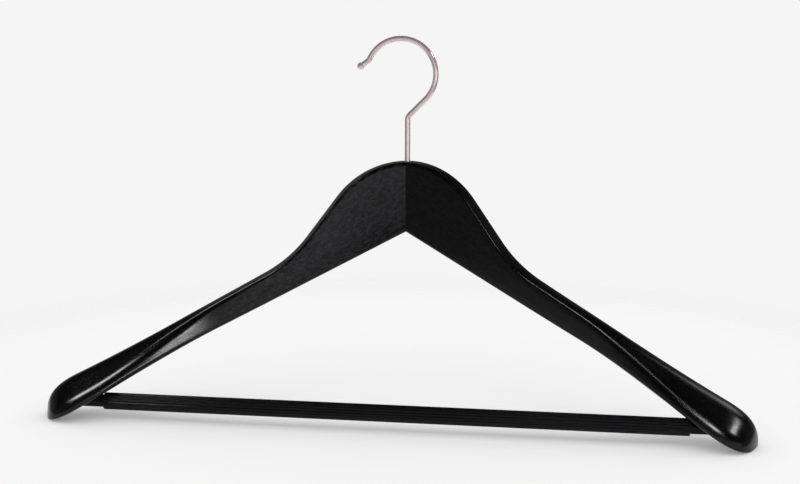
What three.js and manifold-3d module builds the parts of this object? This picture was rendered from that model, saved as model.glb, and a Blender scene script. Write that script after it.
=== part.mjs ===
import * as THREE from "three";
import { mergeVertices } from "three/addons/utils/BufferGeometryUtils.js";
import Module from "manifold-3d";

// Wooden suit hanger with broad contoured shoulders, a swivelling wire hook and a trouser bar in a
// ribbed sleeve. Millimetres, +Z up, +X along the width, the front towards -Y. The origin is on the
// hook's swivel axis, level with the inside of the hook's arch, where a rail carries it.

const { sin, cos, tan, sqrt, hypot, min, max, PI } = Math;
const radians = THREE.MathUtils.degToRad;

const GAP = 0.3; // between pieces that touch in the real hanger
const CUT_RUN_OUT = 5; // how far a hole's cut runs past the surface it opens in
const CUT_OVERLAP = 1; // how far one cut runs into the next
const MERGE_TOLERANCE = 1e-4;
const LEAST_CORNER_ANGLE = 1e-3;

// Arms, in the arm's own frame: a runs out along the arm from the seam, d forwards across its
// thickness and z up.
const SWEEP = radians(19.3); // each arm swings this far forwards
const ARM_LENGTH = 235.5;
const NECK_HALF_THICKNESS = 7;
const CROWN_Z = -78;
const CROWN_RADIUS = 58;
const FLANK_ANGLE = radians(52.4); // steepest fall, between the crown and the saddle
const SADDLE_START = 66;
const SADDLE_RADIUS = 85;
const SHOULDER_ANGLE = radians(27.5); // fall of the shoulder's top line
const SHOULDER_RISE = 5.4e-4; // gentle lift of that line beyond SHOULDER_RISE_START, per mm
const SHOULDER_RISE_START = 150;
const NOTCH_Z = -123; // underside at the seam
const UNDERSIDE_SLOPE = 0.486;
const UNDERSIDE_SAG = 2.4e-4;
const UNDERSIDE_SAG_START = 130;

// Cross-section: five corners, blended from a flat plank at the neck to a saddle at the shoulder.
const BLEND_START = 85;
const BLEND_LENGTH = 105;
const LIP_FLARE = 18; // how far the front lip stands out in front of the plank
const LIP_START = 125;
const LIP_LENGTH = 100;
const BACK_FLARE = 4;
const CREASE_DROP = 0.57; // share of the height that the front crease falls
const CREASE_START = 119;
const CREASE_LENGTH = 90;
const CREASE_LEAN = 0.08;
const CREST_PLACE = 0.42; // share of the depth from the back where the top line runs
const CREST_CROWNING = 0.15;
const BACK_SHOULDER_DROP = 0.12;
const CORNER_RADIUS = { lip: 2, crease: 2.5, crest: 2.5, back: 2.5, heel: 2 };
const CORNER_GROWTH = { lip: 1.5, crease: 7, crest: 14, back: 7, heel: 0.5 };
const FILLET_SHARE = 0.49; // most of an edge that one fillet may take
const ARC_POINTS = 4;

// Rounded end of the shoulder.
const TIP_LENGTH = 22.8;
const TIP_FULLNESS = 2.9;
const TIP_POLE_DEPTH = 0.25;
const TIP_POLE_HEIGHT = 3.2;

const SEAM_CUT_REACH = 60;
const ROOT_OVERRUN = 8; // loft length past the seam, cut off by the mitre
const BODY_STATIONS = 34;
const TIP_STATIONS = 9;

// Hook: one wire, bent in the plane Y = 0.
const WIRE_RADIUS = 1.75;
const LOOP_RADIUS = 22.9; // to the wire's centre line
const LOOP_CENTRE_X = -4.4;
const LOOP_CENTRE_Z = -21;
const NECK_LEAN = radians(45); // the straight run between the stem and the loop
const NECK_BEND_RADIUS = 4;
const LOOP_END = radians(155); // round from +X, where the loop turns back
const TIP_BEND_RADIUS = 4;
const TIP_TURN = radians(30);
const TIP_RUN = 3.9;
const BALL_RADIUS = 2.35;
const STEM_BOTTOM_Z = -100;
const HEAD_RADIUS = 2.6;
const HEAD_LENGTH = 3;
const HEAD_TAPER = 0.6; // length over which the head narrows to the wire
const WIRE_SIDES = 14;
const NECK_BEND_STEPS = 4;
const LOOP_STEPS = 26;
const TIP_BEND_STEPS = 5;
const BALL_STEPS = 7;

// Swivel bushing, sunk below the top of the neck.
const BUSHING_TOP_Z = -83;
const BUSHING_BOTTOM_Z = -96.6;
const BUSHING_RADIUS = 3.5;
const BORE_CLEARANCE = 0.36;
const BORE_RADIUS = WIRE_RADIUS + BORE_CLEARANCE;
const ROUND_SIDES = 24;

// Dowels across the seam.
const DOWEL_RADIUS = 3;
const DOWEL_HALF_LENGTH = 13;
const DOWEL_Y = -2.5;
const DOWEL_ZS = { neck_dowel_upper: -106, neck_dowel_lower: -115.2 };

// Trouser bar and its sleeve.
const BAR_RADIUS = 4;
const BAR_HALF_LENGTH = 206.5;
const BAR_DEPTH = 9; // bar axis in front of the arm's middle plane, where it enters the arm
const BAR_ENTRY_X = 195;
const BAR_Y = -(BAR_ENTRY_X * tan(SWEEP) + BAR_DEPTH / cos(SWEEP));
const BAR_Z = -227;
const BAR_CLEARANCE = 0.35;
const SOCKET_RADIUS = BAR_RADIUS + BAR_CLEARANCE;
const SLEEVE_HALF_LENGTH = 183;
const SLEEVE_MEAN_RADIUS = 5.15;
const FLUTE_DEPTH = 0.25;
const FLUTES = 18;
const POINTS_PER_FLUTE = 5;

// Steel brads that pin the bar, driven in from the back of each shoulder.
const BRAD_RADIUS = 0.75;
const BRAD_X = 203;
const BRAD_START = -10.2; // along d, from the back
const BRAD_END = 10.8;
const BRAD_HOLE_OVERRUN = 8; // hole behind the brad, out through the back
const BRAD_SIDES = 10;

const wasm = await Module();
wasm.setup();

function toSolid(geometry) {
  const bare = new THREE.BufferGeometry();
  bare.setAttribute("position", geometry.getAttribute("position").clone());
  if (geometry.index) bare.setIndex(geometry.index.clone());
  const merged = mergeVertices(bare, MERGE_TOLERANCE);
  return new wasm.Manifold(
    new wasm.Mesh({
      numProp: 3,
      vertProperties: new Float32Array(merged.attributes.position.array),
      triVerts: new Uint32Array(merged.index.array),
    }),
  );
}

function toGeometry(manifold) {
  const mesh = manifold.getMesh();
  const geometry = new THREE.BufferGeometry();
  geometry.setAttribute("position", new THREE.BufferAttribute(mesh.vertProperties.slice(), 3));
  geometry.setIndex(new THREE.BufferAttribute(mesh.triVerts.slice(), 1));
  geometry.computeVertexNormals();
  return geometry;
}

// Closed skin over a list of equal rings; the first and last rings close on their own middles.
function loft(rings, startPole, endPole) {
  const count = rings[0].length;
  const points = [startPole, ...rings.flat(), endPole];
  const last = points.length - 1;
  const index = [];
  for (let r = 0; r < rings.length - 1; r++) {
    for (let i = 0; i < count; i++) {
      const a = 1 + r * count + i;
      const b = 1 + r * count + ((i + 1) % count);
      index.push(a, b, a + count, b, b + count, a + count);
    }
  }
  const lastRing = 1 + (rings.length - 1) * count;
  for (let i = 0; i < count; i++) {
    const next = (i + 1) % count;
    index.push(0, 1 + next, 1 + i);
    index.push(last, lastRing + i, lastRing + next);
  }
  const geometry = new THREE.BufferGeometry().setFromPoints(points);
  geometry.setIndex(index);
  return geometry;
}

function facingOut(geometry) {
  const made = toSolid(geometry);
  if (made.volume() > 0) return made;
  const order = geometry.index.array;
  for (let i = 0; i < order.length; i += 3) {
    [order[i], order[i + 1]] = [order[i + 1], order[i]];
  }
  return toSolid(geometry);
}

function cylinder(radius, from, to, sides = ROUND_SIDES) {
  const along = to.clone().sub(from);
  const geometry = new THREE.CylinderGeometry(radius, radius, along.length(), sides);
  const turn = new THREE.Quaternion().setFromUnitVectors(
    new THREE.Vector3(0, 1, 0),
    along.clone().normalize(),
  );
  geometry.applyQuaternion(turn);
  const middle = from.clone().add(to).multiplyScalar(0.5);
  geometry.translate(middle.x, middle.y, middle.z);
  return toSolid(geometry);
}

const point = (x, y, z) => new THREE.Vector3(x, y, z);

function ease(value) {
  const t = min(1, max(0, value));
  return t * t * (3 - 2 * t);
}

// Top line of an arm: crown arc, steep flank, saddle arc, then the shoulder's fall.
function crestZ(a) {
  const flankStart = CROWN_RADIUS * sin(FLANK_ANGLE);
  const flankTop = CROWN_Z - CROWN_RADIUS * (1 - cos(FLANK_ANGLE));
  const saddleTop = flankTop - tan(FLANK_ANGLE) * (SADDLE_START - flankStart);
  const saddleEnd = SADDLE_START + SADDLE_RADIUS * (sin(FLANK_ANGLE) - sin(SHOULDER_ANGLE));
  const shoulderTop = saddleTop - SADDLE_RADIUS * (cos(SHOULDER_ANGLE) - cos(FLANK_ANGLE));
  if (a < flankStart) return CROWN_Z - CROWN_RADIUS + sqrt(CROWN_RADIUS ** 2 - a * a);
  if (a < SADDLE_START) return flankTop - tan(FLANK_ANGLE) * (a - flankStart);
  if (a < saddleEnd) {
    const sine = sin(FLANK_ANGLE) - (a - SADDLE_START) / SADDLE_RADIUS;
    return saddleTop - SADDLE_RADIUS * (sqrt(1 - sine * sine) - cos(FLANK_ANGLE));
  }
  const rise = SHOULDER_RISE * max(a - SHOULDER_RISE_START, 0) ** 2;
  return shoulderTop - tan(SHOULDER_ANGLE) * (a - saddleEnd) + rise;
}

function undersideZ(a) {
  return NOTCH_Z - UNDERSIDE_SLOPE * a - UNDERSIDE_SAG * max(a - UNDERSIDE_SAG_START, 0) ** 2;
}

// Corner p between its neighbours, replaced by an arc of the given radius.
function fillet(before, p, after, radius) {
  const u = before.clone().sub(p);
  const v = after.clone().sub(p);
  const reach = FILLET_SHARE * min(u.length(), v.length());
  u.normalize();
  v.normalize();
  const half = max(u.angleTo(v), LEAST_CORNER_ANGLE) / 2;
  const length = min(radius / tan(half), reach);
  const arcRadius = length * tan(half);
  const centre = p.clone().add(u.clone().add(v).normalize().multiplyScalar(arcRadius / sin(half)));
  const start = p.clone().addScaledVector(u, length).sub(centre);
  const end = p.clone().addScaledVector(v, length).sub(centre);
  const sweep = PI - 2 * half;
  const arc = [];
  for (let i = 0; i < ARC_POINTS; i++) {
    const share = i / (ARC_POINTS - 1);
    const fromStart = sin((1 - share) * sweep) / sin(sweep);
    const fromEnd = sin(share * sweep) / sin(sweep);
    arc.push(centre.clone().addScaledVector(start, fromStart).addScaledVector(end, fromEnd));
  }
  return arc;
}

// Outline of the arm at station a, as (d, z) points.
function armSection(a) {
  const top = crestZ(a);
  const bottom = undersideZ(a);
  const height = top - bottom;
  const blend = ease((a - BLEND_START) / BLEND_LENGTH);
  const front = NECK_HALF_THICKNESS + LIP_FLARE * ease((a - LIP_START) / LIP_LENGTH);
  const back = -NECK_HALF_THICKNESS - BACK_FLARE * blend;
  const depth = front - back;
  const drop = CREASE_DROP * ease((a - CREASE_START) / CREASE_LENGTH);
  const corners = {
    lip: [front, bottom],
    crease: [front - CREASE_LEAN * depth * blend, top - drop * height],
    crest: [back + CREST_PLACE * depth, top + CREST_CROWNING],
    back: [back, top - BACK_SHOULDER_DROP * blend * height],
    heel: [back, bottom],
  };
  const names = Object.keys(corners);
  const places = names.map((name) => new THREE.Vector2(...corners[name]));
  const outline = names.flatMap((name, i) =>
    fillet(
      places[(i + names.length - 1) % names.length],
      places[i],
      places[(i + 1) % names.length],
      CORNER_RADIUS[name] + CORNER_GROWTH[name] * blend,
    ),
  );
  const pole = new THREE.Vector2(back + TIP_POLE_DEPTH * depth, bottom + TIP_POLE_HEIGHT);
  const along = min(1, max(0, (a - ARM_LENGTH + TIP_LENGTH) / TIP_LENGTH));
  const size = (1 - along ** TIP_FULLNESS) ** (1 / TIP_FULLNESS);
  for (const p of outline) p.sub(pole).multiplyScalar(size).add(pole);
  return { outline, pole };
}

// Arm frame to world; side is +1 for the arm on +X and -1 for the other.
function place(side, a, d, z) {
  return point(side * (a * cos(SWEEP) - d * sin(SWEEP)), -(a * sin(SWEEP) + d * cos(SWEEP)), z);
}

function armStations() {
  const bodyEnd = ARM_LENGTH - TIP_LENGTH;
  const stations = [];
  for (let i = 0; i < BODY_STATIONS; i++) {
    stations.push(-ROOT_OVERRUN + ((bodyEnd + ROOT_OVERRUN) * i) / BODY_STATIONS);
  }
  for (let i = 0; i < TIP_STATIONS; i++) {
    stations.push(bodyEnd + TIP_LENGTH * sin((i / TIP_STATIONS) * (PI / 2)));
  }
  return stations;
}

// Block that takes away everything past the arm's own side of the seam.
function seamCutter(side) {
  const reach = SEAM_CUT_REACH;
  const box = new THREE.BoxGeometry(reach, 2 * reach, 4 * reach);
  box.translate(side * (GAP / 2 - reach / 2), 0, CROWN_Z - reach);
  return toSolid(box);
}

// Cylinder along a brad's line, longer at each end by the given amounts.
function bradCylinder(side, radius, behind = 0, ahead = 0) {
  const a = (BRAD_X + BAR_DEPTH * sin(SWEEP)) / cos(SWEEP);
  const start = place(side, a, BRAD_START - behind, BAR_Z);
  const end = place(side, a, BRAD_END + ahead, BAR_Z);
  return cylinder(radius, start, end, BRAD_SIDES);
}

const bradHole = (side) => bradCylinder(side, BRAD_RADIUS + GAP, BRAD_HOLE_OVERRUN, GAP);

function buildArm(side) {
  const stations = armStations();
  const sections = stations.map((a) => armSection(a));
  const rings = sections.map((section, i) =>
    section.outline.map((p) => place(side, stations[i], p.x, p.y)),
  );
  const tip = armSection(ARM_LENGTH).pole;
  const root = sections[0].pole;
  const skin = loft(
    rings,
    place(side, stations[0], root.x, root.y),
    place(side, ARM_LENGTH, tip.x, tip.y),
  );
  const nestTop = BUSHING_TOP_Z + GAP;
  const nestBottom = BUSHING_BOTTOM_Z - GAP;
  const upright = (radius, from, to) => cylinder(radius, point(0, 0, from), point(0, 0, to));
  let arm = facingOut(skin)
    .subtract(seamCutter(side))
    .subtract(upright(BORE_RADIUS, nestTop - CUT_OVERLAP, CROWN_Z + CUT_RUN_OUT))
    .subtract(upright(BUSHING_RADIUS + GAP, nestBottom, nestTop))
    .subtract(upright(HEAD_RADIUS + 2 * GAP, STEM_BOTTOM_Z - GAP, nestBottom + CUT_OVERLAP));
  for (const z of Object.values(DOWEL_ZS)) {
    arm = arm.subtract(
      cylinder(
        DOWEL_RADIUS + GAP,
        point(-side * CUT_OVERLAP, DOWEL_Y, z),
        point(side * (DOWEL_HALF_LENGTH + GAP), DOWEL_Y, z),
      ),
    );
  }
  const socket = cylinder(
    SOCKET_RADIUS,
    point(side * (SLEEVE_HALF_LENGTH - CUT_RUN_OUT), BAR_Y, BAR_Z),
    point(side * (BAR_HALF_LENGTH + GAP), BAR_Y, BAR_Z),
  );
  return arm.subtract(socket).subtract(bradHole(side));
}

// Walks the wire's centre line in the plane Y = 0, by straight runs and bends, from the stem's foot
// to the ball. Gives its knots, the steps of the ball's profile and how far the ball reaches.
function wirePath() {
  const knots = [];
  const here = { x: 0, z: STEM_BOTTOM_Z, heading: PI / 2 };
  const mark = () => knots.push({ ...here });
  const forward = (length) => {
    here.x += length * cos(here.heading);
    here.z += length * sin(here.heading);
    mark();
  };
  const bend = (angle, radius, steps) => {
    const step = angle / steps;
    const chord = 2 * radius * sin(Math.abs(step) / 2);
    for (let i = 0; i < steps; i++) {
      here.heading += step / 2;
      here.x += chord * cos(here.heading);
      here.z += chord * sin(here.heading);
      here.heading += step / 2;
      mark();
    }
  };
  const touchX = LOOP_CENTRE_X + LOOP_RADIUS * sin(NECK_LEAN);
  const touchZ = LOOP_CENTRE_Z - LOOP_RADIUS * cos(NECK_LEAN);
  const cornerZ = touchZ - touchX / tan(NECK_LEAN);
  const trim = NECK_BEND_RADIUS * tan(NECK_LEAN / 2);
  mark();
  forward(HEAD_LENGTH);
  forward(HEAD_TAPER);
  forward(cornerZ - trim - STEM_BOTTOM_Z - HEAD_LENGTH - HEAD_TAPER);
  bend(-NECK_LEAN, NECK_BEND_RADIUS, NECK_BEND_STEPS);
  forward(touchX / sin(NECK_LEAN) - trim);
  bend(LOOP_END + NECK_LEAN, LOOP_RADIUS, LOOP_STEPS);
  bend(-TIP_TURN, TIP_BEND_RADIUS, TIP_BEND_STEPS);
  forward(TIP_RUN);
  const neckOfBall = sqrt(BALL_RADIUS ** 2 - WIRE_RADIUS ** 2);
  const ballStart = PI - Math.asin(WIRE_RADIUS / BALL_RADIUS);
  const ball = [];
  for (let i = 1; i < BALL_STEPS; i++) {
    const at = ballStart * (1 - i / BALL_STEPS);
    ball.push({ ahead: neckOfBall + BALL_RADIUS * cos(at), radius: BALL_RADIUS * sin(at) });
  }
  return { knots, ball, reach: neckOfBall + BALL_RADIUS };
}

function buildHook() {
  const { knots, ball, reach } = wirePath();
  const end = knots[knots.length - 1];
  const ring = (knot, radius) => {
    const points = [];
    for (let i = 0; i < WIRE_SIDES; i++) {
      const angle = (2 * PI * i) / WIRE_SIDES;
      const across = radius * cos(angle);
      points.push(
        point(
          knot.x - across * sin(knot.heading),
          radius * sin(angle),
          knot.z + across * cos(knot.heading),
        ),
      );
    }
    return points;
  };
  const ahead = (knot, distance) => ({
    ...knot,
    x: knot.x + distance * cos(knot.heading),
    z: knot.z + distance * sin(knot.heading),
  });
  const headKnots = 2;
  const rings = knots.map((knot, i) => ring(knot, i < headKnots ? HEAD_RADIUS : WIRE_RADIUS));
  for (const step of ball) rings.push(ring(ahead(end, step.ahead), step.radius));
  const tip = ahead(end, reach);
  const skin = loft(rings, point(0, 0, STEM_BOTTOM_Z), point(tip.x, 0, tip.z));
  return facingOut(skin);
}

function buildSleeve() {
  const steps = FLUTES * POINTS_PER_FLUTE;
  const outline = new THREE.Shape();
  for (let i = 0; i < steps; i++) {
    const angle = (2 * PI * i) / steps;
    const radius = SLEEVE_MEAN_RADIUS + FLUTE_DEPTH * cos(FLUTES * angle);
    if (i === 0) outline.moveTo(radius, 0);
    else outline.lineTo(radius * cos(angle), radius * sin(angle));
  }
  outline.closePath();
  const skin = new THREE.ExtrudeGeometry(outline, {
    depth: 2 * SLEEVE_HALF_LENGTH,
    bevelEnabled: false,
    steps: 1,
  });
  skin.rotateY(PI / 2);
  skin.translate(-SLEEVE_HALF_LENGTH, BAR_Y, BAR_Z);
  const reach = SLEEVE_HALF_LENGTH + CUT_OVERLAP;
  const bore = cylinder(SOCKET_RADIUS, point(-reach, BAR_Y, BAR_Z), point(reach, BAR_Y, BAR_Z));
  return toSolid(skin).subtract(bore);
}

function buildBar() {
  let bar = cylinder(
    BAR_RADIUS,
    point(-BAR_HALF_LENGTH, BAR_Y, BAR_Z),
    point(BAR_HALF_LENGTH, BAR_Y, BAR_Z),
  );
  for (const side of [-1, 1]) bar = bar.subtract(bradHole(side));
  return bar;
}

function buildBushing() {
  const bottom = point(0, 0, BUSHING_BOTTOM_Z);
  const top = point(0, 0, BUSHING_TOP_Z);
  const overrun = point(0, 0, CUT_OVERLAP);
  const bore = cylinder(BORE_RADIUS, bottom.clone().sub(overrun), top.clone().add(overrun));
  return cylinder(BUSHING_RADIUS, bottom, top).subtract(bore);
}

const finishes = {
  lacqueredWood: { color: 0x1c1a1b, roughness: 0.32, metalness: 0 },
  blackWood: { color: 0x141314, roughness: 0.45, metalness: 0 },
  bareWood: { color: 0xb98f5e, roughness: 0.75, metalness: 0 },
  nickel: { color: 0xcfc6c2, roughness: 0.2, metalness: 1 },
  brass: { color: 0xb08d4a, roughness: 0.35, metalness: 1 },
  steel: { color: 0x9a9a9c, roughness: 0.35, metalness: 1 },
  blackPlastic: { color: 0x1b191c, roughness: 0.5, metalness: 0 },
};

const hanger = new THREE.Group();
hanger.name = "suit_hanger";

function add(name, made, finish) {
  const mesh = new THREE.Mesh(toGeometry(made), new THREE.MeshStandardMaterial(finishes[finish]));
  mesh.name = name;
  hanger.add(mesh);
}

add("arm_left", buildArm(-1), "lacqueredWood");
add("arm_right", buildArm(1), "lacqueredWood");
for (const [name, z] of Object.entries(DOWEL_ZS)) {
  const half = DOWEL_HALF_LENGTH;
  add(name, cylinder(DOWEL_RADIUS, point(-half, DOWEL_Y, z), point(half, DOWEL_Y, z)), "bareWood");
}
add("hook", buildHook(), "nickel");
add("hook_bushing", buildBushing(), "brass");
add("trouser_bar", buildBar(), "blackWood");
add("bar_sleeve", buildSleeve(), "blackPlastic");
add("brad_left", bradCylinder(-1, BRAD_RADIUS), "steel");
add("brad_right", bradCylinder(1, BRAD_RADIUS), "steel");

export default hanger;
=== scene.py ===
import math

import bmesh
import bpy
import numpy as np
from mathutils import Matrix, Quaternion, Vector


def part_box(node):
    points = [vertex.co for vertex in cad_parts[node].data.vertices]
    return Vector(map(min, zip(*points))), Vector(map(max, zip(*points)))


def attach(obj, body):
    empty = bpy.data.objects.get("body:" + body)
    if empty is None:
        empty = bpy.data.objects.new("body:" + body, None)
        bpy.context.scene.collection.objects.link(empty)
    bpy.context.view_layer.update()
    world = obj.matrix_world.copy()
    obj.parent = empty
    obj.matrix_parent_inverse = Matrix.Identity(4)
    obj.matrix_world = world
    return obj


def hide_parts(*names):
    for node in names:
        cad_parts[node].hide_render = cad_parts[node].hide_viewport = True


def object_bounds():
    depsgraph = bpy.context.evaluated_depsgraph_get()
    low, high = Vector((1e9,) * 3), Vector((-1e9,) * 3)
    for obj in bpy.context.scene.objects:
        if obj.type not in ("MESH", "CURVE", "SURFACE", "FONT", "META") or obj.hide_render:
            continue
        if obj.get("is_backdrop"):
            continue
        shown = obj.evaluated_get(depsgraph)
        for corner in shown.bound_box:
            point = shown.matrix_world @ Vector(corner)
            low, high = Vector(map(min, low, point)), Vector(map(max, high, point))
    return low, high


# Wooden suit hanger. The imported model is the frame, and every visible piece is rebuilt on it as a
# fine smooth mesh. Shape dimensions are in millimetres in the CAD frame; objects are in metres.

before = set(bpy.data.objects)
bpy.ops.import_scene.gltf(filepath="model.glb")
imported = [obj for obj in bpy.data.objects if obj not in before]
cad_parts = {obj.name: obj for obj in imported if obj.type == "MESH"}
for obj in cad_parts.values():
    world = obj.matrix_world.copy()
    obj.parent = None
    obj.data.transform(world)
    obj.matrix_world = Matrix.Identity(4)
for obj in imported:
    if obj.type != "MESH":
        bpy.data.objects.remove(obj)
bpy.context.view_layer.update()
MM = 0.001


def node_box(node):
    """Lowest and highest corner of a CAD node, in millimetres."""
    return [Vector(corner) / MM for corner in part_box(node)]


# ---------------------------------------------------------------- dimensions, shared with the CAD
SWEEP = math.radians(19.3)  # each arm swings this far forwards
ARM_LENGTH = 235.5
NECK_HALF_THICKNESS = 7.0
# top line: the round crown, a straight flank, the hollow saddle, then the shoulder
CROWN_Z = -78.0
CROWN_RADIUS = 58.0
FLANK_ANGLE = math.radians(52.4)
SADDLE_START = 66.0
SADDLE_RADIUS = 85.0
SHOULDER_ANGLE = math.radians(27.5)
SHOULDER_RISE = 5.4e-4
SHOULDER_RISE_START = 150.0
# bottom line, from the notch at the seam
NOTCH_Z = -123.0
UNDERSIDE_SLOPE = 0.486
UNDERSIDE_SAG = 2.4e-4
UNDERSIDE_SAG_START = 130.0
# the plain plank of the neck widens into the shoulder's five-cornered section
BLEND_START, BLEND_LENGTH = 85.0, 105.0
LIP_FLARE, LIP_START, LIP_LENGTH = 18.0, 125.0, 100.0
BACK_FLARE = 4.0
CREASE_DROP, CREASE_START, CREASE_LENGTH = 0.57, 119.0, 90.0
CREASE_LEAN = 0.08
CREST_PLACE = 0.42
CREST_CROWNING = 0.15
BACK_SHOULDER_DROP = 0.12
# corner: (radius at the neck, growth towards the shoulder)
CORNER_RADII = {
    "lip": (2.0, 1.5),
    "crease": (2.5, 7.0),
    "crest": (2.5, 14.0),
    "back": (2.5, 7.0),
    "heel": (2.0, 0.5),
}
CORNERS = len(CORNER_RADII)
FILLET_SHARE = 0.49
LEAST_CORNER_ANGLE = 1e-3
TIP_LENGTH = 22.8
TIP_FULLNESS = 2.9
TIP_POLE_DEPTH = 0.25
TIP_POLE_HEIGHT = 3.2

WIRE_RADIUS = 1.75
LOOP_RADIUS = 22.9
LOOP_CENTRE = (-4.4, -21.0)
NECK_LEAN = math.radians(45)
NECK_BEND_RADIUS = 4.0
LOOP_END = math.radians(155)
TIP_BEND_RADIUS = 4.0
TIP_TURN = math.radians(30)
TIP_RUN = 3.9
BALL_RADIUS = 2.35
STEM_BOTTOM_Z = -100.0
HEAD_RADIUS, HEAD_LENGTH, HEAD_TAPER = 2.6, 3.0, 0.6

FLUTES = 18
SLEEVE_MEAN_RADIUS = 5.15
FLUTE_DEPTH = 0.25
SLEEVE_BORE = 4.35
BAR_DEPTH = 9.0  # from the arm's middle plane forwards to the bar's axis, where it enters the arm

# holes in the arms, with room round what they hold
BORE_RADIUS = 2.11
BORE_OVERRUN = 5.0
BUSHING_HOLE_RADIUS = 3.8
DOWEL_HOLE_RADIUS = 3.3
BRAD_X = 203.0
SOCKET_MOUTH_X = 178.0
HOLE_ROOM = 0.3

# ---------------------------------------------------------------- dimensions of the meshes only
SEAM_HALF_GAP = 0.03  # tighter than the CAD's gap, so that nothing hidden shows through the seam
ROOT_OVERRUN = 8.0  # each arm is lofted past the seam, then cut there
SEAM_CUT_TOLERANCE = 1e-7
BRAD_HOLE_RADIUS = 1.0
BRAD_HOLE_BACK, BRAD_HOLE_FRONT = -18.0, 11.1
ARC_POINTS = 11
FLAT_POINTS = 3
BODY_STATIONS = 190
TIP_STATIONS = 34
CUTTER_SIDES = 48
HEAD_STEPS = 2
STEM_STEPS = 24
NECK_BEND_STEPS = 12
SLANT_STEPS = 8
LOOP_STEPS = 110
TIP_BEND_STEPS = 14
TIP_STEPS = 5
BALL_STEPS = 16
WIRE_SIDES = 32
POINTS_PER_FLUTE = 12
FLUTE_SQUARENESS = 0.75
SLEEVE_EDGE = 0.18
EDGE_SHARE = 0.3
BAR_CHAMFER = 0.6
BAR_SIDES = 64
BAR_RINGS = 25
BAR_RING_INSET = 8.0
# angles in degrees from which an edge is shaded sharp
SHARP, SHARP_WIRE, SHARP_SLEEVE, SHARP_BAR = 35, 50, 50, 30


def ease(value):
    t = min(1.0, max(0.0, value))
    return t * t * (3 - 2 * t)


def crest_z(a):
    """Height of the arm's top line at station a along the arm."""
    flank_start = CROWN_RADIUS * math.sin(FLANK_ANGLE)
    flank_top = CROWN_Z - CROWN_RADIUS * (1 - math.cos(FLANK_ANGLE))
    saddle_top = flank_top - math.tan(FLANK_ANGLE) * (SADDLE_START - flank_start)
    saddle_end = SADDLE_START + SADDLE_RADIUS * (math.sin(FLANK_ANGLE) - math.sin(SHOULDER_ANGLE))
    shoulder_top = saddle_top - SADDLE_RADIUS * (math.cos(SHOULDER_ANGLE) - math.cos(FLANK_ANGLE))
    if a < flank_start:
        return CROWN_Z - CROWN_RADIUS + math.sqrt(CROWN_RADIUS**2 - a * a)
    if a < SADDLE_START:
        return flank_top - math.tan(FLANK_ANGLE) * (a - flank_start)
    if a < saddle_end:
        sine = math.sin(FLANK_ANGLE) - (a - SADDLE_START) / SADDLE_RADIUS
        return saddle_top - SADDLE_RADIUS * (math.sqrt(1 - sine * sine) - math.cos(FLANK_ANGLE))
    rise = SHOULDER_RISE * max(a - SHOULDER_RISE_START, 0) ** 2
    return shoulder_top - math.tan(SHOULDER_ANGLE) * (a - saddle_end) + rise


def underside_z(a):
    """Height of the arm's bottom line at station a along the arm."""
    return NOTCH_Z - UNDERSIDE_SLOPE * a - UNDERSIDE_SAG * max(a - UNDERSIDE_SAG_START, 0) ** 2


def fillet(before, corner, after, radius):
    """The corner as an arc, as (d, z) points."""
    u, v = before - corner, after - corner
    reach = FILLET_SHARE * min(np.linalg.norm(u), np.linalg.norm(v))
    u, v = u / np.linalg.norm(u), v / np.linalg.norm(v)
    half = max(math.acos(np.clip(u @ v, -1, 1)), LEAST_CORNER_ANGLE) / 2
    length = min(radius / math.tan(half), reach)
    arc_radius = length * math.tan(half)
    middle = (u + v) / np.linalg.norm(u + v)
    centre = corner + middle * arc_radius / math.sin(half)
    start, end = corner + u * length - centre, corner + v * length - centre
    sweep = math.pi - 2 * half
    return [
        centre + (math.sin((1 - s) * sweep) * start + math.sin(s * sweep) * end) / math.sin(sweep)
        for s in np.linspace(0, 1, ARC_POINTS)
    ]


def arm_section(a):
    """Outline of the arm at station a, and the point that its rounded end closes on."""
    top, bottom = crest_z(a), underside_z(a)
    height = top - bottom
    blend = ease((a - BLEND_START) / BLEND_LENGTH)
    front = NECK_HALF_THICKNESS + LIP_FLARE * ease((a - LIP_START) / LIP_LENGTH)
    back = -NECK_HALF_THICKNESS - BACK_FLARE * blend
    depth = front - back
    drop = CREASE_DROP * ease((a - CREASE_START) / CREASE_LENGTH)
    corners = {
        "lip": (front, bottom),
        "crease": (front - CREASE_LEAN * depth * blend, top - drop * height),
        "crest": (back + CREST_PLACE * depth, top + CREST_CROWNING),
        "back": (back, top - BACK_SHOULDER_DROP * blend * height),
        "heel": (back, bottom),
    }
    places = [np.array(corner, float) for corner in corners.values()]
    arcs = []
    for i, name in enumerate(corners):
        at_neck, growth = CORNER_RADII[name]
        after = places[(i + 1) % CORNERS]
        arcs.append(fillet(places[i - 1], places[i], after, at_neck + growth * blend))
    outline = []
    for i, arc in enumerate(arcs):
        outline += arc
        here, there = arc[-1], arcs[(i + 1) % CORNERS][0]
        for k in range(1, FLAT_POINTS + 1):
            outline.append(here + (there - here) * k / (FLAT_POINTS + 1))
    pole = np.array([back + TIP_POLE_DEPTH * depth, bottom + TIP_POLE_HEIGHT])
    along = min(1.0, max(0.0, (a - ARM_LENGTH + TIP_LENGTH) / TIP_LENGTH))
    size = (1 - along**TIP_FULLNESS) ** (1 / TIP_FULLNESS)
    return pole + (np.array(outline) - pole) * size, pole


def place(side, a, d, z):
    """The point at station a along an arm, d in front of its middle, at height z."""
    x = side * (a * math.cos(SWEEP) - d * math.sin(SWEEP))
    y = -(a * math.sin(SWEEP) + d * math.cos(SWEEP))
    return Vector((x, y, z)) * MM


# ---------------------------------------------------------------- mesh tools
def new_object(name, data):
    made = bpy.data.objects.new(name, data)
    bpy.context.scene.collection.objects.link(made)
    return made


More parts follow.
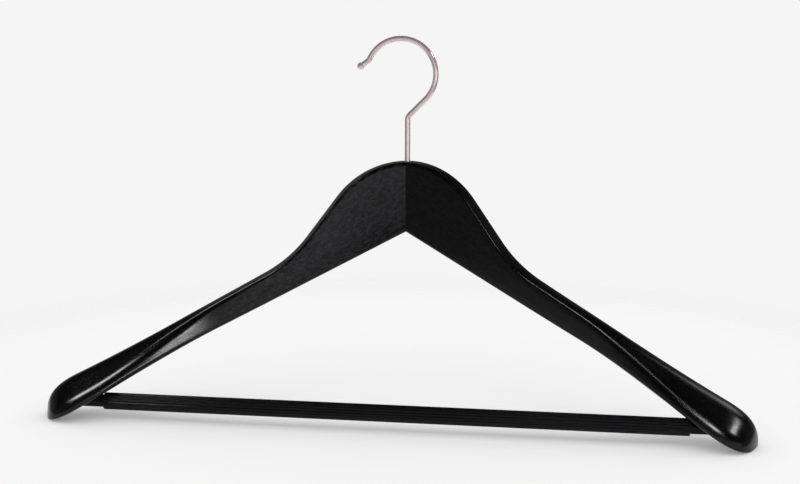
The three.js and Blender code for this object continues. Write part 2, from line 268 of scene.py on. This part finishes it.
def bmesh_from(name, points, faces):
    """A bmesh with its faces turned outwards."""
    mesh = bpy.data.meshes.new(name)
    mesh.from_pydata([tuple(p) for p in points], [], faces)
    made = bmesh.new()
    made.from_mesh(mesh)
    bmesh.ops.recalc_face_normals(made, faces=made.faces)
    bpy.data.meshes.remove(mesh)
    return made


def loft(name, rings, start, end):
    """Closed skin over equal rings, closed on a point at each end, as a bmesh."""
    count = len(rings[0])
    points = [start] + [p for ring in rings for p in ring] + [end]
    last = len(points) - 1
    faces = []
    for r in range(len(rings) - 1):
        for i in range(count):
            a = 1 + r * count + i
            b = 1 + r * count + (i + 1) % count
            faces.append((a, b, b + count, a + count))
    tail = 1 + (len(rings) - 1) * count
    for i in range(count):
        faces.append((0, 1 + (i + 1) % count, 1 + i))
        faces.append((last, tail + i, tail + (i + 1) % count))
    return bmesh_from(name, points, faces)


def shade(mesh, sharp):
    mesh.shade_smooth()
    mesh.set_sharp_from_angle(angle=math.radians(sharp))


def object_from(name, made):
    """An object with the bmesh as its mesh."""
    mesh = bpy.data.meshes.new(name)
    made.to_mesh(mesh)
    made.free()
    return new_object(name, mesh)


def finish(name, made, sharp=SHARP):
    """A smooth-shaded object with the bmesh as its mesh."""
    piece = object_from(name, made)
    shade(piece.data, sharp)
    return piece


def rod(name, start, end, radius):
    """Plain round cutter between two points in metres, with its radius in millimetres."""
    along = end - start
    made = bmesh.new()
    turn = Vector((0, 0, 1)).rotation_difference(along.normalized()).to_matrix().to_4x4()
    bmesh.ops.create_cone(
        made, cap_ends=True, segments=CUTTER_SIDES, radius1=radius * MM, radius2=radius * MM,
        depth=along.length, matrix=Matrix.Translation((start + end) / 2) @ turn,
    )
    return object_from(name, made)


def carve(target, cutters):
    """Cuts the cutters out of the target, and removes them."""
    for cutter in cutters:
        cut = target.modifiers.new("cut", "BOOLEAN")
        cut.operation = "DIFFERENCE"
        cut.solver = "EXACT"
        cut.object = cutter
    bpy.context.view_layer.update()
    shape = target.evaluated_get(bpy.context.evaluated_depsgraph_get())
    mesh = bpy.data.meshes.new_from_object(shape)
    target.modifiers.clear()
    old = target.data
    target.data = mesh
    bpy.data.meshes.remove(old)
    for cutter in cutters:
        gone = cutter.data
        bpy.data.objects.remove(cutter)
        bpy.data.meshes.remove(gone)
    shade(mesh, SHARP)


# ---------------------------------------------------------------- arms
BAR_LOW, BAR_HIGH = node_box("trouser_bar")
BAR_Y, BAR_Z = (BAR_LOW.y + BAR_HIGH.y) / 2, (BAR_LOW.z + BAR_HIGH.z) / 2
BAR_HALF = BAR_HIGH.x


def arm_blank(name, side):
    """The uncut arm, flat at the seam, as a bmesh."""
    body_end = ARM_LENGTH - TIP_LENGTH
    stations = list(np.linspace(-ROOT_OVERRUN, body_end, BODY_STATIONS, endpoint=False))
    for i in range(TIP_STATIONS):
        stations.append(body_end + TIP_LENGTH * math.sin(i / TIP_STATIONS * math.pi / 2))
    sections = [arm_section(a) for a in stations]
    rings = [[place(side, a, d, z) for d, z in s[0]] for a, s in zip(stations, sections)]
    root, tip = sections[0][1], arm_section(ARM_LENGTH)[1]
    made = loft(name, rings, place(side, stations[0], *root), place(side, ARM_LENGTH, *tip))
    cut = bmesh.ops.bisect_plane(
        made, geom=made.verts[:] + made.edges[:] + made.faces[:], dist=SEAM_CUT_TOLERANCE,
        plane_co=Vector((side * SEAM_HALF_GAP * MM, 0, 0)), plane_no=Vector((side, 0, 0)),
        clear_inner=True,
    )
    rim = [e for e in cut["geom_cut"] if isinstance(e, bmesh.types.BMEdge)]
    bmesh.ops.contextual_create(made, geom=rim)
    bmesh.ops.recalc_face_normals(made, faces=made.faces)
    return made


def arm_cutters(side):
    """Cutters for the stem, the bushing, the bar's end, the two dowels and the brad."""
    bushing_top = node_box("hook_bushing")[1].z
    stem_low, stem_high = (Vector((0, 0, z)) * MM for z in (bushing_top, CROWN_Z + BORE_OVERRUN))
    nest_low = Vector((0, 0, STEM_BOTTOM_Z - HOLE_ROOM)) * MM
    nest_high = Vector((0, 0, bushing_top + HOLE_ROOM)) * MM
    socket_mouth = Vector((side * SOCKET_MOUTH_X, BAR_Y, BAR_Z)) * MM
    socket_end = Vector((side * (BAR_HALF + HOLE_ROOM), BAR_Y, BAR_Z)) * MM
    cutters = [
        rod("bore", stem_low, stem_high, BORE_RADIUS),
        rod("nest", nest_low, nest_high, BUSHING_HOLE_RADIUS),
        rod("socket", socket_mouth, socket_end, SLEEVE_BORE),
    ]
    for dowel in ("neck_dowel_upper", "neck_dowel_lower"):
        low, high = node_box(dowel)
        y, z = (low.y + high.y) / 2, (low.z + high.z) / 2
        mouth = Vector((-side, y, z)) * MM
        far = Vector((side * (high.x + HOLE_ROOM), y, z)) * MM
        cutters.append(rod("seam_hole", mouth, far, DOWEL_HOLE_RADIUS))
    a = (BRAD_X + BAR_DEPTH * math.sin(SWEEP)) / math.cos(SWEEP)
    behind, before = (place(side, a, d, BAR_Z) for d in (BRAD_HOLE_BACK, BRAD_HOLE_FRONT))
    cutters.append(rod("brad_hole", behind, before, BRAD_HOLE_RADIUS))
    return cutters


def build_arm(name, side):
    arm = finish(name, arm_blank(name, side))
    carve(arm, arm_cutters(side))
    return arm


# ---------------------------------------------------------------- hook
def wire_path():
    """Centre line of the bent wire as (x, z, heading) knots, finely stepped."""
    here = [0.0, STEM_BOTTOM_Z, math.pi / 2]
    knots = [tuple(here)]

    def forward(length, steps):
        for _ in range(steps):
            here[0] += length / steps * math.cos(here[2])
            here[1] += length / steps * math.sin(here[2])
            knots.append(tuple(here))

    def bend(angle, radius, steps):
        step = angle / steps
        chord = 2 * radius * math.sin(abs(step) / 2)
        for _ in range(steps):
            here[2] += step / 2
            here[0] += chord * math.cos(here[2])
            here[1] += chord * math.sin(here[2])
            here[2] += step / 2
            knots.append(tuple(here))

    touch_x = LOOP_CENTRE[0] + LOOP_RADIUS * math.sin(NECK_LEAN)
    touch_z = LOOP_CENTRE[1] - LOOP_RADIUS * math.cos(NECK_LEAN)
    corner_z = touch_z - touch_x / math.tan(NECK_LEAN)
    trim = NECK_BEND_RADIUS * math.tan(NECK_LEAN / 2)
    forward(HEAD_LENGTH, HEAD_STEPS)
    forward(HEAD_TAPER, 1)
    forward(corner_z - trim - STEM_BOTTOM_Z - HEAD_LENGTH - HEAD_TAPER, STEM_STEPS)
    bend(-NECK_LEAN, NECK_BEND_RADIUS, NECK_BEND_STEPS)
    forward(touch_x / math.sin(NECK_LEAN) - trim, SLANT_STEPS)
    bend(LOOP_END + NECK_LEAN, LOOP_RADIUS, LOOP_STEPS)
    bend(-TIP_TURN, TIP_BEND_RADIUS, TIP_BEND_STEPS)
    forward(TIP_RUN, TIP_STEPS)
    return knots


def wire_ring(x, z, heading, radius):
    """Round section of the wire, square to its heading."""
    points = []
    for i in range(WIRE_SIDES):
        angle = 2 * math.pi * i / WIRE_SIDES
        across, y = radius * math.cos(angle), radius * math.sin(angle)
        points.append(Vector((x - across * math.sin(heading), y, z + across * math.cos(heading))) * MM)
    return points


def build_hook(name):
    knots = wire_path()
    rings = []
    for i, knot in enumerate(knots):
        rings.append(wire_ring(*knot, HEAD_RADIUS if i <= HEAD_STEPS else WIRE_RADIUS))
    x, z, heading = knots[-1]
    neck = math.sqrt(BALL_RADIUS**2 - WIRE_RADIUS**2)
    start = math.pi - math.asin(WIRE_RADIUS / BALL_RADIUS)

    def ahead(distance):
        return x + distance * math.cos(heading), z + distance * math.sin(heading)

    for i in range(1, BALL_STEPS):
        at = start * (1 - i / BALL_STEPS)
        centre = ahead(neck + BALL_RADIUS * math.cos(at))
        rings.append(wire_ring(*centre, heading, BALL_RADIUS * math.sin(at)))
    tip_x, tip_z = ahead(neck + BALL_RADIUS)
    bottom, tip = Vector((0, 0, STEM_BOTTOM_Z)) * MM, Vector((tip_x, 0, tip_z)) * MM
    return finish(name, loft(name, rings, bottom, tip), SHARP_WIRE)


# ---------------------------------------------------------------- trouser bar and sleeve
def build_sleeve(name):
    half = node_box("bar_sleeve")[1].x
    count = FLUTES * POINTS_PER_FLUTE
    angles = [2 * math.pi * i / count for i in range(count)]
    step = SLEEVE_EDGE * EDGE_SHARE
    # (inset from the sleeve's end, trim off its outside there)
    rounding = [(0.0, SLEEVE_EDGE), (step, step), (SLEEVE_EDGE, 0.0)]
    profile = [(-half + inset, trim) for inset, trim in rounding]
    profile += [(half - inset, trim) for inset, trim in reversed(rounding)]

    def outer(angle, trim):
        wave = math.cos(FLUTES * angle)
        crown = math.copysign(abs(wave) ** FLUTE_SQUARENESS, wave)
        return SLEEVE_MEAN_RADIUS + FLUTE_DEPTH * crown - trim

    def ring(x, radii):
        return [
            (x * MM, (BAR_Y + r * math.cos(t)) * MM, (BAR_Z + r * math.sin(t)) * MM)
            for t, r in zip(angles, radii)
        ]

    rings = [ring(x, [outer(t, trim) for t in angles]) for x, trim in profile]
    rings += [ring(x, [SLEEVE_BORE] * count) for x in (half, -half)]
    faces = []
    for r in range(len(rings)):
        here, beyond = r * count, (r + 1) % len(rings) * count
        for i in range(count):
            j = (i + 1) % count
            faces.append((here + i, here + j, beyond + j, beyond + i))
    points = [p for around in rings for p in around]
    return finish(name, bmesh_from(name, points, faces), SHARP_SLEEVE)


def build_bar(name):
    radius = (BAR_HIGH.z - BAR_LOW.z) / 2
    ring_reach = BAR_HALF - BAR_RING_INSET
    profile = [(-BAR_HALF, radius - BAR_CHAMFER), (-BAR_HALF + BAR_CHAMFER, radius)]
    profile += [(x, radius) for x in np.linspace(-ring_reach, ring_reach, BAR_RINGS)]
    profile += [(BAR_HALF - BAR_CHAMFER, radius), (BAR_HALF, radius - BAR_CHAMFER)]
    angles = [2 * math.pi * i / BAR_SIDES for i in range(BAR_SIDES)]
    rings = [
        [Vector((x, BAR_Y + r * math.cos(t), BAR_Z + r * math.sin(t))) * MM for t in angles]
        for x, r in profile
    ]
    start, end = Vector((-BAR_HALF, BAR_Y, BAR_Z)) * MM, Vector((BAR_HALF, BAR_Y, BAR_Z)) * MM
    return finish(name, loft(name, rings, start, end), SHARP_BAR)


# ---------------------------------------------------------------- node tools
FULL = (0.0, 1.0)


def add_node(tree, kind, **inputs):
    """A new node, with the values of its inputs (an underscore stands for a space)."""
    made = tree.nodes.new(kind)
    for key, value in inputs.items():
        made.inputs[key.replace("_", " ")].default_value = value
    return made


def add_range(tree, value, source, target, curve="SMOOTHSTEP"):
    """The value carried from the source range to the target range."""
    made = add_node(
        tree, "ShaderNodeMapRange",
        From_Min=source[0], From_Max=source[1], To_Min=target[0], To_Max=target[1],
    )
    made.interpolation_type = curve
    tree.links.new(value, made.inputs["Value"])
    return made.outputs["Result"]


def add_mix(tree, share, first, second):
    """A shader between two others, by the share of the second."""
    made = add_node(tree, "ShaderNodeMixShader")
    for output, target in zip((share, first, second), made.inputs):
        tree.links.new(output, target)
    return made.outputs["Shader"]


def grey(level):
    return (level, level, level, 1)


# ---------------------------------------------------------------- materials
class Shader:
    """A node material with one Principled shader, and short calls to wire nodes into it."""

    def __init__(self, name, **values):
        self.material = bpy.data.materials.new(name)
        self.material.use_nodes = True
        self.tree = self.material.node_tree
        self.main = self.tree.nodes["Principled BSDF"]
        for key, value in values.items():
            self.main.inputs[key].default_value = value
        self.position = add_node(self.tree, "ShaderNodeTexCoord").outputs["Object"]

    def link(self, output, target):
        self.tree.links.new(output, target)

    def range(self, value, source, target):
        return add_range(self.tree, value, source, target)

    def noise(self, per_metre, detail, roughness, turn=(0, 0, 0), distortion=0.0):
        """Noise of so many cycles per metre along each axis, on axes turned by turn."""
        turned = add_node(self.tree, "ShaderNodeMapping", Rotation=turn)
        turned.vector_type = "TEXTURE"
        self.link(self.position, turned.inputs["Vector"])
        scaled = add_node(self.tree, "ShaderNodeVectorMath")
        scaled.operation = "MULTIPLY"
        self.link(turned.outputs["Vector"], scaled.inputs[0])
        scaled.inputs[1].default_value = per_metre
        made = add_node(
            self.tree, "ShaderNodeTexNoise",
            Scale=1.0, Detail=detail, Roughness=roughness, Distortion=distortion,
        )
        self.link(scaled.outputs["Vector"], made.inputs["Vector"])
        return made.outputs["Fac"]

    def math(self, operation, *values):
        made = add_node(self.tree, "ShaderNodeMath")
        made.operation = operation
        for socket, value in zip(made.inputs, values):
            if isinstance(value, float):
                socket.default_value = value
            else:
                self.link(value, socket)
        return made.outputs["Value"]

    def from_seam(self):
        """Distance from the seam across the hanger's width."""
        parts = add_node(self.tree, "ShaderNodeSeparateXYZ")
        self.link(self.position, parts.inputs["Vector"])
        return self.math("ABSOLUTE", parts.outputs["X"])

    def colour(self, share, first, second):
        """Base colour between two colours, by the share of the second."""
        made = add_node(self.tree, "ShaderNodeMix")
        made.data_type = "RGBA"
        self.link(share, made.inputs["Factor"])
        sockets = [socket for socket in made.inputs if socket.type == "RGBA"]
        for socket, colour in zip(sockets, (first, second)):
            socket.default_value = (*colour, 1)
        result = [socket for socket in made.outputs if socket.type == "RGBA"][0]
        self.link(result, self.main.inputs["Base Color"])

    def rough(self, output):
        self.link(output, self.main.inputs["Roughness"])

    def bump(self, height, distance):
        made = add_node(self.tree, "ShaderNodeBump", Distance=distance)
        self.link(height, made.inputs["Height"])
        self.link(made.outputs["Normal"], self.main.inputs["Normal"])


NOISE_CORE = (0.3, 0.7)  # where most values of a noise lie

LACQUER_IOR = 1.33
LACQUER_BLACK = (0.0022, 0.0020, 0.0024)
GRAIN_TILT = math.atan(0.5)
PORES_PER_M = (260.0, 2600.0, 2600.0)
SPECKLE_PER_M = (900.0, 2400.0, 2400.0)
BLOTCH_PER_M = (240.0, 420.0, 420.0)
BROAD_PER_M = (30.0, 90.0, 90.0)
# noise values between which a pore, a speckle or a blotch fades in
PORE_EDGE, SPECKLE_EDGE, BLOTCH_EDGE = (0.42, 0.62), (0.35, 0.7), (0.40, 0.60)
DIM_TO_FULL = (0.3, 1.0)
# The lighter pore speckle is partly real grain and partly painted sheen: full within the first
# distance, down to the plain share beyond the second.
MOTTLED_WITHIN, PLAIN_BEYOND = 0.06, 0.14  # metres from the seam
PLAIN_SHARE = 0.12
LACQUER_ROUGHNESS = (0.19, 0.29)
LACQUER_WEAR = (-0.03, 0.04)
LACQUER_BUMP = 4e-6
BROAD_BUMP = 0.6


def lacquered_wood(name, side, pore_and_sheen):
    """Satin black lacquer, with the wood's pores in a lighter colour, mostly near the seam: partly
    real grain, partly painted sheen there.
    """
    made = Shader(name, IOR=LACQUER_IOR)
    turn = (0, side * GRAIN_TILT, -side * SWEEP)
    pores = made.noise(PORES_PER_M, detail=5.0, roughness=0.6, turn=turn)
    speckle = made.noise(SPECKLE_PER_M, detail=3.0, roughness=0.5, turn=turn)
    blotch = made.noise(BLOTCH_PER_M, detail=2.0, roughness=0.5, turn=turn)
    broad = made.noise(BROAD_PER_M, detail=3.0, roughness=0.5, turn=turn)
    pore_mask = made.range(pores, PORE_EDGE, FULL)
    fleck = made.math("MULTIPLY", pore_mask, made.range(speckle, SPECKLE_EDGE, DIM_TO_FULL))
    patches = made.range(blotch, BLOTCH_EDGE, FULL)
    # Base colour: black, with the pores lighter, which is partly the grain and partly painted sheen
    # that fades away from the seam.
    grain_and_sheen = made.math("MULTIPLY", made.range(fleck, FULL, DIM_TO_FULL), patches)
    fade = made.range(made.from_seam(), (MOTTLED_WITHIN, PLAIN_BEYOND), (1.0, PLAIN_SHARE))
    made.colour(made.math("MULTIPLY", grain_and_sheen, fade), LACQUER_BLACK, pore_and_sheen)
    wear = made.range(broad, NOISE_CORE, LACQUER_WEAR)
    made.rough(made.math("ADD", made.range(fleck, FULL, LACQUER_ROUGHNESS), wear))
    height = made.math("ADD", fleck, made.math("MULTIPLY", broad, BROAD_BUMP))
    made.bump(height, LACQUER_BUMP)
    return made.material


def black_dowel(name):
    made = Shader(name, IOR=1.2)
    grain = made.noise((60.0, 2200.0, 2200.0), detail=4.0, roughness=0.6)
    share = made.range(grain, (0.35, 0.7), FULL)
    made.colour(share, (0.003, 0.0028, 0.003), (0.007, 0.0064, 0.0066))
    made.rough(made.range(grain, NOISE_CORE, (0.35, 0.55)))
    made.bump(grain, 5e-5)
    return made.material


def bare_wood(name):
    made = Shader(name, IOR=1.45)
    grain = made.noise((120.0, 1500.0, 1500.0), detail=5.0, roughness=0.6, distortion=0.4)
    made.colour(made.range(grain, NOISE_CORE, FULL), (0.42, 0.27, 0.14), (0.62, 0.45, 0.27))
    made.rough(made.range(grain, NOISE_CORE, (0.6, 0.8)))
    made.bump(grain, 8e-5)
    return made.material


CLOUD_PER_M = (180.0, 180.0, 180.0)
METAL_BUMP = 3e-6


def plated_metal(name, metallic, dark, light, roughness, per_metre):
    """Metal that clouds between a dark and a light colour, with so many fine marks per metre."""
    made = Shader(name, Metallic=metallic)
    fine = made.noise(per_metre, detail=4.0, roughness=0.6)
    cloud = made.noise(CLOUD_PER_M, detail=3.0, roughness=0.5)
    made.colour(made.range(cloud, NOISE_CORE, FULL), dark, light)
    made.rough(made.range(fine, NOISE_CORE, roughness))
    made.bump(fine, METAL_BUMP)
    return made.material


def ribbed_plastic(name):
    made = Shader(name, IOR=1.24)
    haze = made.noise((120.0, 900.0, 900.0), detail=4.0, roughness=0.6)
    fine = made.noise((2500.0, 2500.0, 2500.0), detail=2.0, roughness=0.5)
    share = made.range(haze, NOISE_CORE, FULL)
    made.colour(share, (0.0030, 0.0026, 0.0036), (0.0056, 0.0048, 0.0066))
    hazed = made.range(haze, NOISE_CORE, (0.34, 0.44))
    made.rough(made.math("ADD", hazed, made.range(fine, NOISE_CORE, (0.0, 0.05))))
    made.bump(fine, 1e-5)
    return made.material


# ---------------------------------------------------------------- pieces
# The left arm's pores are lighter than the right's: painted sheen on the left neck, on top of the
# grain.
WOOD = {
    -1: lacquered_wood("black_lacquer_left", -1, pore_and_sheen=(0.0210, 0.0195, 0.0265)),
    1: lacquered_wood("black_lacquer_right", 1, pore_and_sheen=(0.0062, 0.0057, 0.0066)),
}
for side, node in ((-1, "arm_left"), (1, "arm_right")):
    arm = build_arm("carved_" + node, side)
    arm.data.materials.clear()
    arm.data.materials.append(WOOD[side])
    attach(arm, "hanger")
    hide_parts(node)

hook = build_hook("bent_wire_hook")
bright_nickel = plated_metal(
    "bright_nickel", metallic=0.70, dark=(0.82, 0.68, 0.70), light=(0.90, 0.77, 0.79),
    roughness=(0.12, 0.20), per_metre=(1400.0, 1400.0, 500.0),
)
hook.data.materials.append(bright_nickel)
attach(hook, "hook")
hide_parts("hook")

bar = build_bar("black_bar_dowel")
bar.data.materials.append(black_dowel("black_stained_dowel"))
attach(bar, "hanger")
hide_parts("trouser_bar")

sleeve = build_sleeve("ribbed_bar_sleeve")
sleeve.data.materials.append(ribbed_plastic("black_ribbed_pvc"))
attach(sleeve, "sleeve")
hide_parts("bar_sleeve")

beech = bare_wood("beech_dowel")
brass = plated_metal(
    "turned_brass", metallic=1.0, dark=(0.52, 0.36, 0.15), light=(0.66, 0.48, 0.22),
    roughness=(0.22, 0.38), per_metre=(900.0, 900.0, 2600.0),
)
steel = plated_metal(
    "brad_steel", metallic=1.0, dark=(0.30, 0.30, 0.31), light=(0.46, 0.46, 0.47),
    roughness=(0.28, 0.45), per_metre=(2200.0, 2200.0, 2200.0),
)
HIDDEN = {
    "neck_dowel_upper": beech,
    "neck_dowel_lower": beech,
    "hook_bushing": brass,
    "brad_left": steel,
    "brad_right": steel,
}
for node, material in HIDDEN.items():
    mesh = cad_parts[node].data
    mesh.materials.clear()
    mesh.materials.append(material)

# ---------------------------------------------------------------- floor
LOW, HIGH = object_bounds()
FLOOR_RADIUS = 0.46
FLOOR_SEGMENTS = 96
FLOOR_CENTRE_Y = 0.02
FLOOR_GAP = 0.0002
FLOOR_CENTRE = Vector((0, FLOOR_CENTRE_Y, LOW.z - FLOOR_GAP))
FLOOR_FADE = (0.27, 0.45)  # distances from the centre over which it turns clear
FLOOR_ALBEDO = 0.80
FLOOR_GLOW = 0.195


def floor_paint(name):
    """Matt pale paint with a faint glow, which turns clear towards the floor's rim."""
    material = bpy.data.materials.new(name)
    material.use_nodes = True
    tree = material.node_tree
    tree.nodes.clear()
    paint = add_node(tree, "ShaderNodeBsdfDiffuse", Color=grey(FLOOR_ALBEDO))
    glow = add_node(tree, "ShaderNodeEmission", Strength=FLOOR_GLOW)
    lit = add_node(tree, "ShaderNodeAddShader")
    tree.links.new(paint.outputs["BSDF"], lit.inputs[0])
    tree.links.new(glow.outputs["Emission"], lit.inputs[1])
    where = add_node(tree, "ShaderNodeTexCoord")
    distance = add_node(tree, "ShaderNodeVectorMath")
    distance.operation = "DISTANCE"
    tree.links.new(where.outputs["Object"], distance.inputs[0])
    distance.inputs[1].default_value = FLOOR_CENTRE
    edge = add_range(tree, distance.outputs["Value"], FLOOR_FADE, FULL, "SMOOTHERSTEP")
    clear = add_node(tree, "ShaderNodeBsdfTransparent")
    surface = add_mix(tree, edge, lit.outputs["Shader"], clear.outputs["BSDF"])
    output = add_node(tree, "ShaderNodeOutputMaterial")
    tree.links.new(surface, output.inputs["Surface"])
    return material


floor_mesh = bmesh.new()
bmesh.ops.create_circle(floor_mesh, cap_ends=True, radius=FLOOR_RADIUS, segments=FLOOR_SEGMENTS)
bmesh.ops.translate(floor_mesh, verts=floor_mesh.verts, vec=FLOOR_CENTRE)
floor = finish("pale_floor", floor_mesh)
floor.data.materials.append(floor_paint("pale_floor_paint"))
floor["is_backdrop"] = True

# ---------------------------------------------------------------- surroundings
PAGE = 0.913  # the pale page that the camera sees behind the object
SKY = 0.96  # what lights matt surfaces, the same from everywhere
ROOM = 0.8  # what shiny surfaces mirror, changed by direction as below
FRONT_TO_BACK, ROOM_AROUND = (-1.0, 0.6), (0.25, 0.20)
LOW_TO_HIGH, ROOM_ABOVE = (0.12, 0.50), (1.0, 0.10)


def studio_world(name):
    """The camera sees a flat page, matt surfaces an even sky, and shiny ones a dim room."""
    world = bpy.data.worlds.new(name)
    world.use_nodes = True
    tree = world.node_tree
    tree.nodes.clear()
    page = add_node(tree, "ShaderNodeBackground", Color=grey(PAGE))
    sky = add_node(tree, "ShaderNodeBackground", Color=grey(SKY))
    room = add_node(tree, "ShaderNodeBackground", Color=grey(ROOM))
    toward = add_node(tree, "ShaderNodeTexCoord")
    parts = add_node(tree, "ShaderNodeSeparateXYZ")
    tree.links.new(toward.outputs["Generated"], parts.inputs["Vector"])
    strength = add_node(tree, "ShaderNodeMath")
    strength.operation = "MULTIPLY"
    around = add_range(tree, parts.outputs["Y"], FRONT_TO_BACK, ROOM_AROUND)
    above = add_range(tree, parts.outputs["Z"], LOW_TO_HIGH, ROOM_ABOVE)
    tree.links.new(around, strength.inputs[0])
    tree.links.new(above, strength.inputs[1])
    tree.links.new(strength.outputs["Value"], room.inputs["Strength"])
    path = add_node(tree, "ShaderNodeLightPath")
    seen = add_mix(
        tree, path.outputs["Is Camera Ray"], room.outputs["Background"], page.outputs["Background"]
    )
    surface = add_mix(tree, path.outputs["Is Diffuse Ray"], seen, sky.outputs["Background"])
    output = add_node(tree, "ShaderNodeOutputWorld")
    tree.links.new(surface, output.inputs["Surface"])
    return world


bpy.context.scene.world = studio_world("studio")


def softbox(name, spot, bearing, elevation, distance, size, beam, level):
    """Rectangular light that one spot of the hanger mirrors towards the camera.

    It stands at a bearing from the front (towards +X), an elevation and a distance from the spot, and
    faces it. Its beam is the full angle that its grid lets out, and level is its brightness inside.
    """
    b, e = math.radians(bearing), math.radians(elevation)
    away = Vector((math.sin(b) * math.cos(e), -math.cos(b) * math.cos(e), math.sin(e)))
    half = math.radians(beam) / 2
    light = bpy.data.lights.new(name, "AREA")
    light.shape = "RECTANGLE"
    light.size, light.size_y = size
    light.spread = 2 * half
    light.energy = level * math.pi * size[0] * size[1] * (1 - half / math.tan(half))
    made = new_object(name, light)
    made.location = spot + away * distance
    made.rotation_mode = "QUATERNION"
    made.rotation_quaternion = (-away).to_track_quat("-Z", "Y")
    made.visible_camera = False
    made.visible_diffuse = False


# spots on the hanger, in metres
LEFT_SCOOP = Vector((-0.155, -0.075, -0.188))
LEFT_END = Vector((-0.195, -0.09, -0.205))
LEFT_FLANK = Vector((-0.088, -0.038, -0.15))
HOOK_STEM = Vector((0, 0, -0.05))
RIGHT_FLANK = Vector((0.112, -0.05, -0.165))
RIGHT_END = Vector((0.205, -0.1, -0.228))
# name: spot, bearing, elevation, distance, (width, height), beam, level
LAMPS = {
    "scoop_window": (LEFT_SCOOP, 35.5, -3, 0.70, (0.13, 0.15), 16, 48.0),
    "left_lamp": (LEFT_END, -46, 58, 0.12, (0.07, 0.07), 30, 48.0),
    "crest_lamp": (LEFT_FLANK, -104, 56, 0.35, (0.14, 0.14), 15, 26.0),
    "crease_lamp": (RIGHT_FLANK, 15, 64, 0.40, (0.10, 0.12), 16, 26.0),
    "front_lamp": (RIGHT_END, -8, 48, 0.14, (0.05, 0.09), 26, 54.0),
    "right_lamp": (RIGHT_END, 95, 47, 1.25, (0.19, 0.19), 180, 24.0),
    "hook_panel": (HOOK_STEM, 30, -3, 1.00, (1.90, 0.30), 180, 0.8),
    "shoulder_lamp": (RIGHT_END, 146, 38, 0.30, (0.12, 0.13), 44, 2.6),
}
for lamp, setting in LAMPS.items():
    softbox(lamp, *setting)

# ---------------------------------------------------------------- camera
CAMERA_AT = Vector((131.5, -887.4, 9.6)) * MM
CAMERA_AIM = Vector((-4.8, 0.0, -131.8)) * MM
CAMERA_ROLL = math.radians(0.15)
SENSOR_WIDTH, FOCAL_LENGTH = 36.0, 61.6
NEAR_LIMIT = 0.01

camera_data = bpy.data.cameras.new("camera")
camera_data.sensor_width = SENSOR_WIDTH
camera_data.lens = FOCAL_LENGTH
camera_data.clip_start = NEAR_LIMIT
camera = new_object("camera", camera_data)
camera.location = CAMERA_AT
look = (CAMERA_AIM - CAMERA_AT).to_track_quat("-Z", "Y")
camera.rotation_mode = "QUATERNION"
camera.rotation_quaternion = look @ Quaternion((0, 0, 1), CAMERA_ROLL)
bpy.context.scene.camera = camera
bpy.context.scene.view_settings.view_transform = "Standard"

LOW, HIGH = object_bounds()
